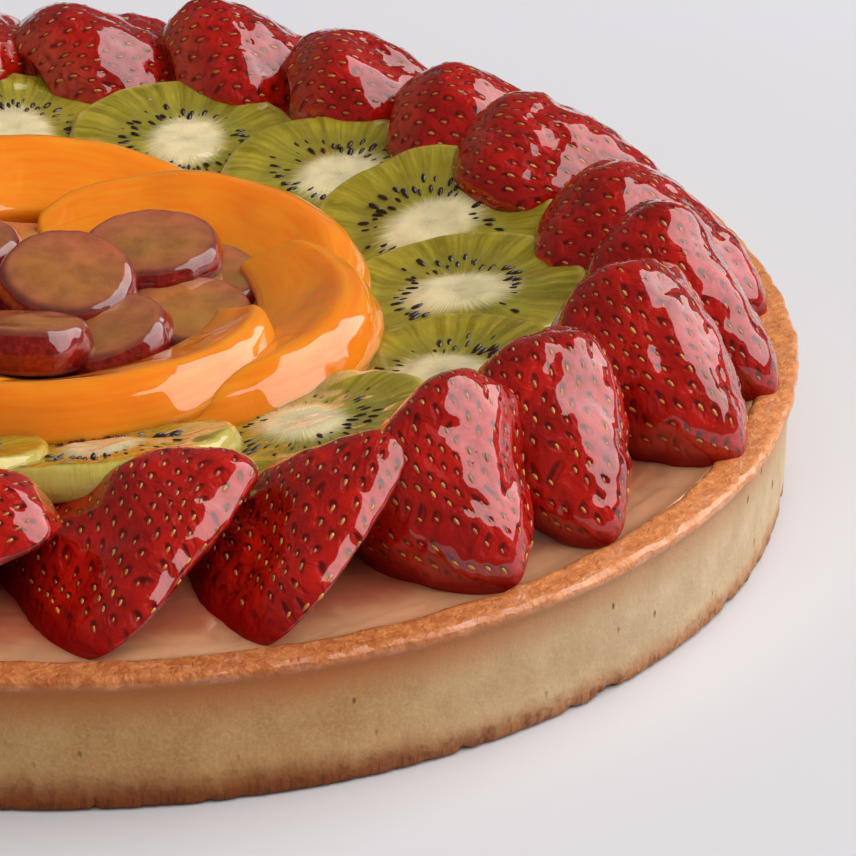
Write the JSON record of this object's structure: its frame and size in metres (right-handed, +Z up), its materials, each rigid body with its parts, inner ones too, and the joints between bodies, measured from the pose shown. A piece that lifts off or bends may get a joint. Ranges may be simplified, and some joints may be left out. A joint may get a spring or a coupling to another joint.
{
  "type": "fruit tart",
  "caption": "Round fruit tart: a straight-sided baked shell filled with custard, topped with rings of halved strawberries, kiwi slices and peach crescents round a heap of grape slices.",
  "frame": {"origin": "centre of the crust's flat base, at the level of what the tart stands on", "axes": "+Z up through the tart; the heap of grape slices is at the middle; +X and +Y are level and arbitrary, as on any round tart"},
  "size_m": [0.264, 0.264, 0.0509],
  "materials": {
    "crust": "matte, baked sandy golden, browner at the foot",
    "custard": "smooth pale cream-yellow under clear glaze",
    "strawberry": "deep red under glossy clear glaze",
    "kiwi": "olive green wet flesh under clear glaze",
    "peach": "orange flesh under glossy clear glaze",
    "grape": "translucent grey-pink flesh with a dark red skin under clear glaze"
  },
  "bodies": {
    "root": {"crust": "crust", "custard": "custard", "strawberry_01": "strawberry", "strawberry_02": "strawberry", "strawberry_03": "strawberry", "strawberry_04": "strawberry", "strawberry_05": "strawberry", "strawberry_06": "strawberry", "strawberry_07": "strawberry", "strawberry_08": "strawberry", "strawberry_09": "strawberry", "strawberry_10": "strawberry", "strawberry_11": "strawberry", "strawberry_12": "strawberry", "strawberry_13": "strawberry", "strawberry_14": "strawberry", "strawberry_15": "strawberry", "strawberry_16": "strawberry", "strawberry_17": "strawberry", "strawberry_18": "strawberry", "strawberry_19": "strawberry", "strawberry_20": "strawberry", "strawberry_21": "strawberry", "strawberry_22": "strawberry", "strawberry_23": "strawberry", "strawberry_24": "strawberry", "strawberry_25": "strawberry", "kiwi_01": "kiwi", "kiwi_02": "kiwi", "kiwi_03": "kiwi", "kiwi_04": "kiwi", "kiwi_05": "kiwi", "kiwi_06": "kiwi", "kiwi_07": "kiwi", "kiwi_08": "kiwi", "kiwi_09": "kiwi", "kiwi_10": "kiwi", "kiwi_11": "kiwi", "kiwi_12": "kiwi", "kiwi_13": "kiwi", "kiwi_14": "kiwi", "kiwi_15": "kiwi", "peach_01": "peach", "peach_02": "peach", "peach_03": "peach", "peach_04": "peach", "peach_05": "peach", "peach_06": "peach", "grape_01": "grape", "grape_02": "grape", "grape_03": "grape", "grape_04": "grape", "grape_05": "grape", "grape_06": "grape", "grape_07": "grape", "grape_08": "grape", "grape_09": "grape", "grape_10": "grape", "grape_11": "grape"}
  },
  "joints": []
}
